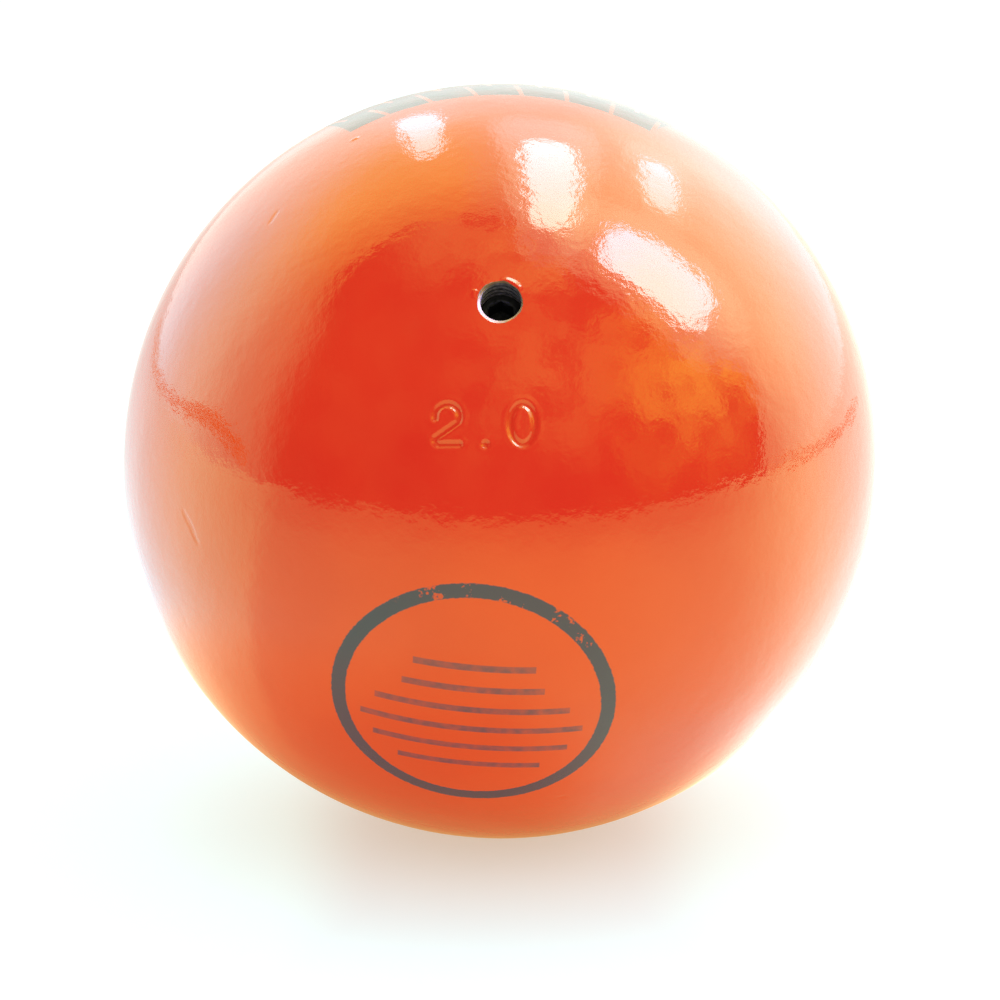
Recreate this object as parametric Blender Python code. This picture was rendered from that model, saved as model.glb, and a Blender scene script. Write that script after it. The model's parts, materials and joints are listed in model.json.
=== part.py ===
"""A 2 kg shot put: a painted cast-iron ball whose weight is trimmed through a tapped bore.

Metres, +Z up, the front towards -Y, the origin at the ball's centre. The ball lies as it was
photographed, with the bore on its upper front. Every piece along the bore is modelled upright,
with the ball's centre at zero and the mouth of the bore above it, and bore_axis tilts them all.
"""

import math

import bmesh
import bpy

# Ball
BALL_DIAMETER = 0.0812
BALL_SEGMENTS = 64
BALL_RINGS = 40

# Bore, drilled towards the ball's centre
BORE_ELEVATION_DEG = 39.0
DRILL_POINT_DEG = 118.0
BORE_SIDES = 32
MOUTH_LAND = 0.00005

# Thread, in its standard form: the flats at the ridge's top and foot are shares of the pitch
THREAD_DIAMETER = 0.0050
THREAD_PITCH = 0.0008
RIDGE_TOP_SHARE = 0.125
RIDGE_FOOT_SHARE = 0.7
TAPPED_BELOW_SCREW = 0.0016
THREAD_STEPS = 24

# Plug screw, sunk below the ball's surface
SCREW_LENGTH = 0.0050
SCREW_RECESS = 0.0030
SCREW_CHAMFER = 0.0004
SOCKET_DEPTH = 0.0024

# Filling
DISC_THICKNESS = 0.0010
DISC_EDGE = 0.00015
PELLET_COUNT = 6
PELLET_SEGMENTS = 20
PELLET_RINGS = 12

# Clearances
RUNNING_CLEARANCE = 0.0001
SEAT_GAP = 0.0003
OVERCUT = 0.0010
CUT_MARGIN = 0.00005

# Sizes that follow from the ones above
BALL_RADIUS = BALL_DIAMETER / 2
THREAD_RADIUS = THREAD_DIAMETER / 2
# A tapping drill is one pitch smaller than its thread
BORE_RADIUS = (THREAD_DIAMETER - THREAD_PITCH) / 2
MOUTH_RADIUS = THREAD_RADIUS + MOUTH_LAND
# A set screw's socket is half as wide across its flats as its thread
SOCKET_ACROSS_FLATS = THREAD_DIAMETER / 2
FILL_RADIUS = BORE_RADIUS - RUNNING_CLEARANCE
PELLET_PITCH = 2 * FILL_RADIUS + SEAT_GAP
POINT_SLOPE = math.radians(DRILL_POINT_DEG / 2)

# Heights along the bore, from the ball's centre outwards
SCREW_TOP = BALL_RADIUS - SCREW_RECESS
SCREW_FOOT = SCREW_TOP - SCREW_LENGTH
TAP_END = SCREW_FOOT - TAPPED_BELOW_SCREW
DISC_TOP = SCREW_FOOT - SEAT_GAP
DISC_FOOT = DISC_TOP - DISC_THICKNESS
FIRST_PELLET = DISC_FOOT - SEAT_GAP - FILL_RADIUS
LAST_PELLET = FIRST_PELLET - (PELLET_COUNT - 1) * PELLET_PITCH
BORE_TIP = LAST_PELLET - (FILL_RADIUS + SEAT_GAP) / math.sin(POINT_SLOPE)
BORE_FOOT = BORE_TIP + BORE_RADIUS / math.tan(POINT_SLOPE)
MOUTH_HEIGHT = math.sqrt(BALL_RADIUS**2 - MOUTH_RADIUS**2)
COUNTERSINK_FOOT = MOUTH_HEIGHT - (MOUTH_RADIUS - BORE_RADIUS)


def clear_scene():
    for old in list(bpy.data.objects):
        bpy.data.objects.remove(old, do_unlink=True)


def make_material(name, colour, roughness, metallic):
    material = bpy.data.materials.new(name)
    material.use_nodes = True
    shader = material.node_tree.nodes["Principled BSDF"]
    shader.inputs["Base Color"].default_value = (*colour, 1.0)
    shader.inputs["Roughness"].default_value = roughness
    shader.inputs["Metallic"].default_value = metallic
    return material


def add_object(name, mesh_source, parent, material=None):
    """A smooth-shaded object made from a bmesh, which is freed."""
    bmesh.ops.recalc_face_normals(mesh_source, faces=mesh_source.faces)
    mesh = bpy.data.meshes.new(name)
    mesh_source.to_mesh(mesh)
    mesh_source.free()
    mesh.shade_smooth()
    mesh.set_sharp_from_angle(angle=math.radians(30))
    made = bpy.data.objects.new(name, mesh)
    bpy.context.scene.collection.objects.link(made)
    made.parent = parent
    if material:
        mesh.materials.append(material)
    return made


def hide_cutter(cutter):
    cutter.hide_render = True
    cutter.display_type = "WIRE"


def add_boolean(target, cutter, operation):
    modifier = target.modifiers.new(cutter.name, "BOOLEAN")
    modifier.operation = operation
    modifier.solver = "EXACT"
    modifier.object = cutter
    hide_cutter(cutter)


def turned(profile, sides):
    """A closed solid turned about Z from (radius, height) points, both ends on the axis."""
    made = bmesh.new()
    points = [made.verts.new((radius, 0.0, height)) for radius, height in profile]
    edges = [made.edges.new(pair) for pair in zip(points, points[1:])]
    bmesh.ops.spin(
        made,
        geom=points + edges,
        axis=(0.0, 0.0, 1.0),
        cent=(0.0, 0.0, 0.0),
        angle=math.tau,
        steps=sides,
        use_merge=True,
    )
    bmesh.ops.remove_doubles(made, verts=made.verts, dist=1e-7)
    return made


def threaded_rod(foot, top, ridge_radius, core_radius):
    """A closed rod with one right-hand ridge round it, cut square at its foot and its top."""
    made = bmesh.new()
    top_flat = RIDGE_TOP_SHARE * THREAD_PITCH / 2
    foot_flat = RIDGE_FOOT_SHARE * THREAD_PITCH / 2
    section = (
        (core_radius, -foot_flat),
        (ridge_radius, -top_flat),
        (ridge_radius, top_flat),
        (core_radius, foot_flat),
    )
    # The ridge's phase is counted from the ball's centre, so a screw meshes with its bore
    first_turn = math.floor(foot / THREAD_PITCH) - 1
    last_turn = math.ceil(top / THREAD_PITCH) + 1
    rows = []
    for step in range(first_turn * THREAD_STEPS, last_turn * THREAD_STEPS + 1):
        turn = math.tau * step / THREAD_STEPS
        rise = THREAD_PITCH * step / THREAD_STEPS
        row = [
            made.verts.new((radius * math.cos(turn), radius * math.sin(turn), rise + height))
            for radius, height in section
        ]
        rows.append(row)
    for here, there in zip(rows, rows[1:]):
        for low in range(len(section) - 1):
            made.faces.new((here[low], there[low], there[low + 1], here[low + 1]))
    # The core's wall joins each turn's upper edge to the next turn's lower edge
    for index in range(len(rows) - THREAD_STEPS - 1):
        above = index + THREAD_STEPS
        made.faces.new((rows[index][-1], rows[index + 1][-1], rows[above + 1][0], rows[above][0]))
    for height, outward in ((foot, -1.0), (top, 1.0)):
        cut = bmesh.ops.bisect_plane(
            made,
            geom=made.verts[:] + made.edges[:] + made.faces[:],
            plane_co=(0.0, 0.0, height),
            plane_no=(0.0, 0.0, outward),
            clear_outer=True,
        )
        rim = [part for part in cut["geom_cut"] if isinstance(part, bmesh.types.BMEdge)]
        bmesh.ops.edgeloop_fill(made, edges=rim)
    bmesh.ops.triangulate(made, faces=[face for face in made.faces if len(face.verts) > 4])
    return made


def make_casting(bore_axis, material):
    ball = bmesh.new()
    bmesh.ops.create_uvsphere(
        ball,
        u_segments=BALL_SEGMENTS,
        v_segments=BALL_RINGS,
        radius=BALL_RADIUS,
    )
    casting = add_object("casting", ball, bore_axis, material)

    # Above the mouth the drill keeps widening at the countersink's slope, so it cuts clear
    cut_top = MOUTH_HEIGHT + OVERCUT
    drill_profile = (
        (0.0, BORE_TIP),
        (BORE_RADIUS, BORE_FOOT),
        (BORE_RADIUS, COUNTERSINK_FOOT),
        (MOUTH_RADIUS + OVERCUT, cut_top),
        (0.0, cut_top),
    )
    drill = add_object("bore_cutter", turned(drill_profile, BORE_SIDES), bore_axis)
    add_boolean(casting, drill, "DIFFERENCE")

    # The tap's core stays just inside the drilled wall, so only its ridge cuts
    tap_rod = threaded_rod(TAP_END, cut_top, THREAD_RADIUS, BORE_RADIUS - CUT_MARGIN)
    tap = add_object("tap_cutter", tap_rod, bore_axis)
    add_boolean(casting, tap, "DIFFERENCE")


def make_plug_screw(bore_axis, material):
    """The screw's origin stands on the bore's axis, at the screw's foot."""
    ridge_radius = THREAD_RADIUS - RUNNING_CLEARANCE
    core_radius = BORE_RADIUS - RUNNING_CLEARANCE
    rod = threaded_rod(
        SCREW_FOOT - OVERCUT,
        SCREW_TOP + OVERCUT,
        ridge_radius,
        core_radius,
    )
    bmesh.ops.translate(rod, verts=rod.verts, vec=(0.0, 0.0, -SCREW_FOOT))
    screw = add_object("plug_screw", rod, bore_axis, material)
    screw.location.z = SCREW_FOOT

    blank_radius = ridge_radius + CUT_MARGIN
    end_radius = blank_radius - SCREW_CHAMFER
    blank_profile = (
        (0.0, 0.0),
        (end_radius, 0.0),
        (blank_radius, SCREW_CHAMFER),
        (blank_radius, SCREW_LENGTH - SCREW_CHAMFER),
        (end_radius, SCREW_LENGTH),
        (0.0, SCREW_LENGTH),
    )
    blank = add_object("screw_blank", turned(blank_profile, BORE_SIDES), bore_axis)
    blank.location.z = SCREW_FOOT
    add_boolean(screw, blank, "INTERSECT")

    socket = bmesh.new()
    corner_radius = SOCKET_ACROSS_FLATS / math.sqrt(3)
    socket_height = SOCKET_DEPTH + OVERCUT
    bmesh.ops.create_cone(
        socket,
        cap_ends=True,
        segments=6,
        radius1=corner_radius,
        radius2=corner_radius,
        depth=socket_height,
    )
    socket_middle = SCREW_LENGTH - SOCKET_DEPTH + socket_height / 2
    bmesh.ops.translate(socket, verts=socket.verts, vec=(0.0, 0.0, socket_middle))
    key_cutter = add_object("socket_cutter", socket, bore_axis)
    key_cutter.location.z = SCREW_FOOT
    add_boolean(screw, key_cutter, "DIFFERENCE")


def make_packing_disc(bore_axis, material):
    """The disc's origin stands on the bore's axis, at the disc's foot."""
    edge_radius = FILL_RADIUS - DISC_EDGE
    profile = (
        (0.0, 0.0),
        (edge_radius, 0.0),
        (FILL_RADIUS, DISC_EDGE),
        (FILL_RADIUS, DISC_THICKNESS - DISC_EDGE),
        (edge_radius, DISC_THICKNESS),
        (0.0, DISC_THICKNESS),
    )
    disc = add_object("packing_disc", turned(profile, BORE_SIDES), bore_axis, material)
    disc.location.z = DISC_FOOT


def make_pellets(bore_axis, material):
    for index in range(PELLET_COUNT):
        pellet = bmesh.new()
        bmesh.ops.create_uvsphere(
            pellet,
            u_segments=PELLET_SEGMENTS,
            v_segments=PELLET_RINGS,
            radius=FILL_RADIUS,
        )
        made = add_object(f"trim_pellet_{index + 1}", pellet, bore_axis, material)
        made.location.z = FIRST_PELLET - index * PELLET_PITCH


def main():
    clear_scene()
    bore_axis = bpy.data.objects.new("bore_axis", None)
    bpy.context.scene.collection.objects.link(bore_axis)
    bore_axis.rotation_euler.x = math.radians(90.0 - BORE_ELEVATION_DEG)

    orange_paint = make_material("orange_paint", (0.78, 0.10, 0.02), 0.22, 0.0)
    black_steel = make_material("black_steel", (0.06, 0.06, 0.065), 0.45, 0.9)
    soft_brass = make_material("soft_brass", (0.70, 0.50, 0.20), 0.40, 1.0)
    pellet_steel = make_material("pellet_steel", (0.45, 0.45, 0.46), 0.35, 1.0)

    make_casting(bore_axis, orange_paint)
    make_plug_screw(bore_axis, black_steel)
    make_packing_disc(bore_axis, soft_brass)
    make_pellets(bore_axis, pellet_steel)


main()
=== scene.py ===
"""The looks of a 2 kg shot put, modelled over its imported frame.

The painted ball is cast, dented, punched with its weight, drilled, countersunk and tapped. The
plug screw, the brass disc and the pellets fill its bore. Each piece is modelled upright, with the
ball's centre at zero and the bore's mouth on top, and is then tipped forward along the bore.
Lengths are metres.
"""

import json
import math

import bmesh
import bpy
from bpy.props import FloatProperty, FloatVectorProperty, IntProperty, PointerProperty
from mathutils import Euler, Matrix, Vector


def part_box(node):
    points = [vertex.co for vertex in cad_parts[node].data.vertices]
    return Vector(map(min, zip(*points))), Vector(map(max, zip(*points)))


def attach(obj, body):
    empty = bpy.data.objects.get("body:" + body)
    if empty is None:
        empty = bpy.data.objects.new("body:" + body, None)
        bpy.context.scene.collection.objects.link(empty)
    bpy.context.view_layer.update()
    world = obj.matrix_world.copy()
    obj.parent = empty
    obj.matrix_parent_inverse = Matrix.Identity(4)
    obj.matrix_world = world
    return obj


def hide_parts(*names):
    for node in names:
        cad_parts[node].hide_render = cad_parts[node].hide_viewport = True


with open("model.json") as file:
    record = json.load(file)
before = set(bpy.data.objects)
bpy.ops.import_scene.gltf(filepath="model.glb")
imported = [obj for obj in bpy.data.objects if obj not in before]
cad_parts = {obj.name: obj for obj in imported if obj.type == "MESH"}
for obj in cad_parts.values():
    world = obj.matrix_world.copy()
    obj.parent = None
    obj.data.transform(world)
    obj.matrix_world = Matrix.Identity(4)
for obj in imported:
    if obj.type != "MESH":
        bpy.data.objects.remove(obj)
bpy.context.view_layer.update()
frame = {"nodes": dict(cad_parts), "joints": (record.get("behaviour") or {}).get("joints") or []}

bl_info = {
    "name": "Shot put looks",
    "version": (1, 0, 0),
    "blender": (4, 5, 0),
    "location": "3D View > Sidebar > Shot put",
    "description": "Models a painted iron shot put with its trim bore, plug screw and filling",
    "category": "Object",
}

# Read from the frame: the bore's axis, and where each piece lies along it
BALL_LOW, BALL_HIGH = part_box("casting")
BALL_RADIUS = (BALL_HIGH.x - BALL_LOW.x) / 2
BORE_AXIS = Vector(frame["joints"][0]["axis"]).normalized()
BORE_TILT = math.atan2(-BORE_AXIS.y, BORE_AXIS.z)


def reach_along_bore(node):
    """The lowest and the highest point of a frame node along the bore."""
    heights = [BORE_AXIS.dot(point.co) for point in frame["nodes"][node].data.vertices]
    return min(heights), max(heights)


SCREW_FOOT, SCREW_TOP = reach_along_bore("plug_screw")
DISC_FOOT, DISC_TOP = reach_along_bore("packing_disc")
PELLETS = sorted(node for node in frame["nodes"] if node.startswith("trim_pellet"))
LAST_PELLET_FOOT = min(reach_along_bore(node)[0] for node in PELLETS)

# Thread in its standard form, as in the frame: flats are shares of the pitch
RIDGE_TOP_SHARE = 0.125
RIDGE_FOOT_SHARE = 0.7
RUNNING_CLEARANCE = 0.0001
SEAT_GAP = 0.0003
DRILL_POINT = math.radians(118.0)
DRILL_FLAT_SHARE = 0.02
TAPPED_BELOW_SCREW = 0.0016
OVERCUT = 0.001

# How far a tool's hidden faces keep clear of the piece's own, and what counts as on a plane
TOOL_CLEAR = 0.00005
ON_PLANE = 1e-7

# The camera's height, in degrees, as seen from the ball's centre
CAMERA_ELEVATION = 15.4


def length_setting(name, description, default):
    return FloatProperty(name=name, description=description, default=default, unit="LENGTH")


def angle_setting(name, description, degrees):
    return FloatProperty(
        name=name, description=description, default=math.radians(degrees), subtype="ANGLE"
    )


class CastingSettings(bpy.types.PropertyGroup):
    """The ball: its cast surface, its punched figures and its paint."""

    segments: IntProperty(
        name="Segments", description="Faces round the bore's axis", default=192, min=32
    )
    rings: IntProperty(
        name="Rings", description="Faces from pole to pole", default=288, min=32
    )
    lump_size: length_setting("Lump size", "Width of the casting's gentle lumps", 0.011)
    lump_height: length_setting("Lump height", "Height of the casting's gentle lumps", 0.00007)
    figure_height: length_setting(
        "Figure height", "Height of the punched figures' centreline", 0.0041
    )
    figure_width: length_setting("Figure width", "Width of the punched figures' centreline", 0.0025)
    punch_width: length_setting(
        "Punch width", "Half width of a punched stroke at the surface", 0.00058
    )
    punch_depth: length_setting("Punch depth", "Depth of the punched strokes", 0.00028)
    paint: FloatVectorProperty(
        name="Paint", description="The enamel's colour", subtype="COLOR",
        default=(0.72, 0.022, 0.012),
    )
    ink: FloatVectorProperty(
        name="Ink", description="The print's colour", subtype="COLOR",
        default=(0.045, 0.012, 0.070),
    )
    ring_radius: length_setting("Ring radius", "Outer radius of the printed ring", 0.0147)
    ring_width: length_setting("Ring width", "Width of the printed ring's line", 0.0015)
    rule_pitch: length_setting("Rule pitch", "From one printed rule to the next", 0.0027)


class BoreSettings(bpy.types.PropertyGroup):
    """The drilled and tapped bore, and the screw that fits it."""

    thread: length_setting("Thread", "Outer diameter of the thread", 0.005)
    pitch: length_setting("Pitch", "Rise of the thread in one turn", 0.0008)
    sides: IntProperty(
        name="Sides", description="Faces round the bore and the screw", default=96, min=24
    )
    chamfer: length_setting("Chamfer", "Chamfer on the screw's ends", 0.0004)
    socket: length_setting("Socket", "Key width across the flats", 0.0025)
    socket_depth: length_setting("Socket depth", "Depth of the key's socket", 0.0024)


class StageSettings(bpy.types.PropertyGroup):
    """The camera, the floor and the studio's light."""

    distance: length_setting("Distance", "From the camera to the ball's centre", 0.65)
    elevation: angle_setting(
        "Elevation", "Of the camera, seen from the ball's centre", CAMERA_ELEVATION
    )
    focal_length: FloatProperty(
        name="Focal length", description="Of the lens, in millimetres", default=217.15
    )
    aim_below: angle_setting("Aim below", "How far under the ball's centre the camera aims", 0.37)
    aim_left: angle_setting(
        "Aim left", "How far left of the ball's centre the camera aims", 0.0095
    )
    light: FloatProperty(
        name="Light", description="Strength of the studio's even light", default=0.9
    )
    lamps: FloatProperty(
        name="Lamps", description="Strength of the lamps in the gloss", default=1.0
    )


def alone(piece):
    """Makes a piece the only selected one."""
    bpy.ops.object.select_all(action="DESELECT")
    piece.select_set(True)
    bpy.context.view_layer.objects.active = piece


def named(name):
    """Names the primitive that was just added."""
    piece = bpy.context.object
    piece.name = name
    piece.data.name = name
    return piece


def circle(name, sides, radius, fill="NOTHING"):
    bpy.ops.mesh.primitive_circle_add(vertices=sides, radius=radius, fill_type=fill)
    return named(name)


def edit(piece, kind, whole=False):
    """Opens a piece in edit mode for vertices, edges or faces, with all or nothing selected."""
    alone(piece)
    bpy.ops.object.mode_set(mode="EDIT")
    bpy.ops.mesh.select_mode(type=kind)
    bpy.ops.mesh.select_all(action="SELECT" if whole else "DESELECT")


def pick(piece, kind, test):
    """In edit mode, selects the vertices, edges or faces that pass a test."""
    bpy.ops.mesh.select_all(action="DESELECT")
    shape = bmesh.from_edit_mesh(piece.data)
    for part in getattr(shape, kind):
        if test(part):
            part.select_set(True)
    shape.select_flush_mode()
    bmesh.update_edit_mesh(piece.data)


def move(step):
    bpy.ops.transform.translate(value=step)


def extrude(step):
    bpy.ops.mesh.extrude_region_move(TRANSFORM_OT_translate={"value": step})


def resize(shares, centre=(0.0, 0.0, 0.0)):
    bpy.ops.transform.resize(value=shares, center_override=centre)


def close_edit():
    bpy.ops.object.mode_set(mode="OBJECT")


def open_point(name, place):
    """A piece of one point, open in edit mode, to draw a line from."""
    bpy.ops.mesh.primitive_plane_add()
    piece = named(name)
    edit(piece, "VERT", whole=True)
    bpy.ops.mesh.merge(type="CENTER")
    move(place)
    return piece


def modify(piece, name, kind, **values):
    """Adds a modifier with its values."""
    modifier = piece.modifiers.new(name, kind)
    for key, value in values.items():
        setattr(modifier, key, value)


def roughen(piece, name, size, **values):
    """Adds lumps of a size to a piece's skin."""
    clouds = bpy.data.textures.new(name, "CLOUDS")
    clouds.noise_scale = size
    modify(piece, "lumps", "DISPLACE", texture=clouds, texture_coords="LOCAL", **values)


def apply_all(piece):
    """Applies every modifier of a piece, from the top."""
    alone(piece)
    for modifier in list(piece.modifiers):
        bpy.ops.object.modifier_apply(modifier=modifier.name)


def remove(piece):
    data = piece.data
    bpy.data.objects.remove(piece, do_unlink=True)
    bpy.data.meshes.remove(data)


def joined(pieces):
    """Joins pieces into the first of them."""
    bpy.ops.object.select_all(action="DESELECT")
    for piece in pieces:
        piece.select_set(True)
    bpy.context.view_layer.objects.active = pieces[0]
    bpy.ops.object.join()
    return pieces[0]


def cut(piece, tool, operation):
    """Cuts a piece with a tool, or keeps only what lies in the tool, and removes the tool."""
    modify(piece, "cut", "BOOLEAN", operation=operation, solver="EXACT", object=tool)
    apply_all(piece)
    remove(tool)


def turned(name, profile, sides):
    """A solid turned about Z: a disc, extruded and resized from point to point of a profile."""
    (radius, height), *rest = profile
    piece = circle(name, sides, radius, "NGON")
    edit(piece, "FACE", whole=True)
    move((0.0, 0.0, height))
    for next_radius, next_height in rest:
        rise = next_height - height
        extrude((0.0, 0.0, rise))
        share = next_radius / radius
        resize((share, share, 1.0), (0.0, 0.0, next_height))
        radius, height = next_radius, next_height
    bpy.ops.mesh.select_all(action="SELECT")
    bpy.ops.mesh.normals_make_consistent(inside=False)
    close_edit()
    return piece


def threaded_rod(name, foot, top, ridge_radius, core_radius, pitch, sides):
    """A rod with one right-hand ridge round it. The ridge's phase is counted from the ball's centre."""
    flat = RIDGE_TOP_SHARE * pitch / 2
    base = RIDGE_FOOT_SHARE * pitch / 2
    first_turn = math.floor(foot / pitch) - 1
    turns = math.ceil(top / pitch) + 1 - first_turn
    start = first_turn * pitch
    section = (
        (core_radius, start + base - pitch),
        (core_radius, start - base),
        (ridge_radius, start - flat),
        (ridge_radius, start + flat),
        (core_radius, start + base),
    )
    (radius, height), *rest = section
    rod = open_point(name, (radius, 0.0, height))
    for next_radius, next_height in rest:
        extrude((next_radius - radius, 0.0, next_height - height))
        radius, height = next_radius, next_height
    close_edit()
    modify(
        rod, "ridge", "SCREW", axis="Z", steps=sides, render_steps=sides, screw_offset=pitch,
        iterations=turns, use_merge_vertices=False,
    )
    apply_all(rod)
    edit(rod, "VERT", whole=True)
    bpy.ops.mesh.remove_doubles(threshold=1e-6)
    for height, outwards in ((foot, -1.0), (top, 1.0)):
        bpy.ops.mesh.select_all(action="SELECT")
        bpy.ops.mesh.bisect(
            plane_co=(0.0, 0.0, height), plane_no=(0.0, 0.0, outwards), threshold=ON_PLANE,
            use_fill=True, clear_outer=True,
        )
    bpy.ops.mesh.select_all(action="SELECT")
    bpy.ops.mesh.normals_make_consistent(inside=False)
    close_edit()
    return rod


def finish_piece(piece, body, node, material):
    """Tips a piece forward along the bore, shades it, gives it its finish and body, and hides its frame
    node.
    """
    alone(piece)
    piece.rotation_euler = (BORE_TILT, 0.0, 0.0)
    bpy.ops.object.transform_apply(location=True, rotation=True, scale=True)
    bpy.ops.object.shade_smooth_by_angle(angle=math.radians(30.0))
    piece.data.materials.clear()
    piece.data.materials.append(material)
    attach(piece, body)
    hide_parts(node)


def on_ball(down, aside):
    """The turn that takes the ball's top to a place so many degrees down its front and aside."""
    lower = Matrix.Rotation(math.radians(down), 4, "X")
    return lower @ Matrix.Rotation(math.radians(aside), 4, "Y")


def feed(tree, fed, inputs):
    """Gives a node's inputs, by name or place, their links or values."""
    for key, value in dict(inputs).items():
        if isinstance(value, bpy.types.NodeSocket):
            tree.links.new(value, fed.inputs[key])
        else:
            fed.inputs[key].default_value = value


def node(tree, kind, inputs=(), **properties):
    """Adds a shader node with its inputs and its properties."""
    made = tree.nodes.new("ShaderNode" + kind)
    for key, value in properties.items():
        setattr(made, key, value)
    feed(tree, made, inputs)
    return made


def math_of(tree, operation, *values, clamp=False):
    made = node(tree, "Math", enumerate(values), operation=operation, use_clamp=clamp)
    return made.outputs[0]


def scaled(tree, value, factor, start, clamp=False):
    """A value times a factor, added to a start."""
    return math_of(tree, "MULTIPLY_ADD", value, factor, start, clamp=clamp)


def vector_math(tree, operation, *vectors, result="Vector"):
    return node(tree, "VectorMath", enumerate(vectors), operation=operation).outputs[result]


def parts_of(tree, vector):
    """A vector's parts along X, Y and Z."""
    return node(tree, "SeparateXYZ", {0: vector}).outputs[:]


def ramp(tree, value, low, high):
    """0 below low and 1 above high, with a smooth step between them. High may be the lower."""
    limits = {"Value": value, "From Min": low, "From Max": high}
    return node(tree, "MapRange", limits, interpolation_type="SMOOTHSTEP").outputs[0]


def noise(tree, vector, scale, detail=2.0, roughness=0.5):
    settings = {"Vector": vector, "Scale": scale, "Detail": detail, "Roughness": roughness}
    return node(tree, "TexNoise", settings).outputs["Fac"]


def times(tree, *masks):
    """The product of some masks."""
    product = masks[0]
    for mask in masks[1:]:
        product = math_of(tree, "MULTIPLY", product, mask)
    return product


def new_group(name, inputs, outputs):
    """A node group with named sockets, given as name and kind, its given values and output node."""
    group = bpy.data.node_groups.new(name, "ShaderNodeTree")
    for side, sockets in (("INPUT", inputs), ("OUTPUT", outputs)):
        for each, kind in sockets:
            group.interface.new_socket(name=each, in_out=side, socket_type="NodeSocket" + kind)
    return group, group.nodes.new("NodeGroupInput").outputs, group.nodes.new("NodeGroupOutput")


def use_group(tree, group, inputs):
    return node(tree, "Group", inputs, node_tree=group).outputs


def blend_colour(tree, share, first, second):
    """The first colour where the share is 0, and the second where it is 1."""
    first, second = (
        each if isinstance(each, bpy.types.NodeSocket) else (*each, 1.0) for each in (first, second)
    )
    return node(tree, "Mix", {0: share, 6: first, 7: second}, data_type="RGBA").outputs[2]


def new_material(name):
    material = bpy.data.materials.new(name)
    material.use_nodes = True
    return material, material.node_tree, material.node_tree.nodes["Principled BSDF"]


def set_bump(tree, shader, height, strength, distance):
    bump = node(tree, "Bump", {"Height": height, "Strength": strength, "Distance": distance})
    feed(tree, shader, {"Normal": bump.outputs[0]})


def bore_place(tree):
    """Coordinates with the ball's centre at zero and Z along the bore."""
    here = node(tree, "TexCoord").outputs["Object"]
    turn = {"Vector": here, "Rotation": (-BORE_TILT, 0.0, 0.0)}
    return node(tree, "Mapping", turn, vector_type="POINT").outputs[0]


def round_axis(tree, vector):
    """The distance from the Z axis, and the height along it."""
    across, along, height = parts_of(tree, vector)
    squares = times(tree, across, across)
    return math_of(tree, "SQRT", scaled(tree, along, along, squares)), height


def place_on_ball(tree, down, aside, spin=0.0):
    """Coordinates with a place on the ball on +Z, X aside and Y towards the bore."""
    here = node(tree, "TexCoord").outputs["Object"]
    turn = {"Vector": here, "Rotation": (-(BORE_TILT + down), -aside, spin)}
    return node(tree, "Mapping", turn, vector_type="POINT").outputs[0]


def metal_group():
    """Mottled metal: two tones, their grain and their gloss, brighter and smoother where worn."""
    group, given, out = new_group(
        "mottled_metal",
        (("Place", "Vector"), ("Scale", "Float"), ("Dark", "Color"), ("Light", "Color"),
         ("Bright", "Color"), ("Worn", "Float")),
        (("Color", "Color"), ("Roughness", "Float"), ("Height", "Float")),
    )
    grain = noise(group, given["Place"], given["Scale"], 4.0)
    colour = blend_colour(group, ramp(group, grain, 0.3, 0.7), given["Dark"], given["Light"])
    rubbed = times(group, given["Worn"], ramp(group, grain, 0.25, 0.45))
    dull = scaled(group, grain, 0.25, 0.32)
    feed(group, out, {
        "Color": blend_colour(group, rubbed, colour, given["Bright"]),
        "Roughness": scaled(group, rubbed, -0.2, dull), "Height": grain,
    })
    return group


# The metals' tones: dark, light and rubbed bright
IRON = ((0.16, 0.14, 0.16), (0.34, 0.30, 0.33), (0.44, 0.29, 0.16))
BLACK_OXIDE = ((0.035, 0.035, 0.038), (0.07, 0.068, 0.065), (0.45, 0.44, 0.43))
BRASS = ((0.42, 0.27, 0.10), (0.62, 0.42, 0.16), (0.80, 0.58, 0.26))
SHOT_STEEL = ((0.20, 0.15, 0.12), (0.34, 0.33, 0.33), (0.52, 0.52, 0.53))


def mottled_metal(tree, place, scale, worn, tones):
    group = bpy.data.node_groups.get("mottled_metal") or metal_group()
    dark, light, bright = ((*tone, 1.0) for tone in tones)
    return use_group(tree, group, {
        "Place": place, "Scale": scale, "Worn": worn, "Dark": dark, "Light": light, "Bright": bright,
    })


def set_metal(tree, shader, metal, metallic=1.0):
    feed(tree, shader, {
        "Base Color": metal["Color"], "Roughness": metal["Roughness"], "Metallic": metallic,
    })


# The printed marks, as angles down the ball's front from the bore, and aside
RING_DOWN = math.radians(62.7)
RING_ASIDE = math.radians(-4.3)
RING_SPIN = math.radians(3.0)
BAND_NEAR = math.radians(48.8)
BAND_FAR = math.radians(64.5)
BAND_REACH = math.radians(31.5)
BAND_BLOCKS = 7

# The print's soft edge, and how far the edge of its ring wanders
INK_SOFT = 0.00007
INK_WANDER = 0.0002

# Where the ring's top begins to be chipped, and is most. The chips take this share of its ink
CHIPPED_FROM, CHIPPED_FULL = 0.0085, 0.0115
CHIPPED_SHARE = 0.85

# Half a rule's thickness as a share of the rules' pitch, and half its length, which swings from
# rule to rule. The outermost rule lies so many pitches from the middle of the six
RULE_INSIDE, RULE_OUTSIDE = 0.12, 0.17
RULE_LENGTH, RULE_SWING = 0.0089, 0.0026
OUTERMOST_RULE = 2.5

# The band's blocks: where one row ends and the next begins, and how far they slant over the band
BAND_ROW_ENDS = 0.52
BAND_SLANT = 0.35


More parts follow.
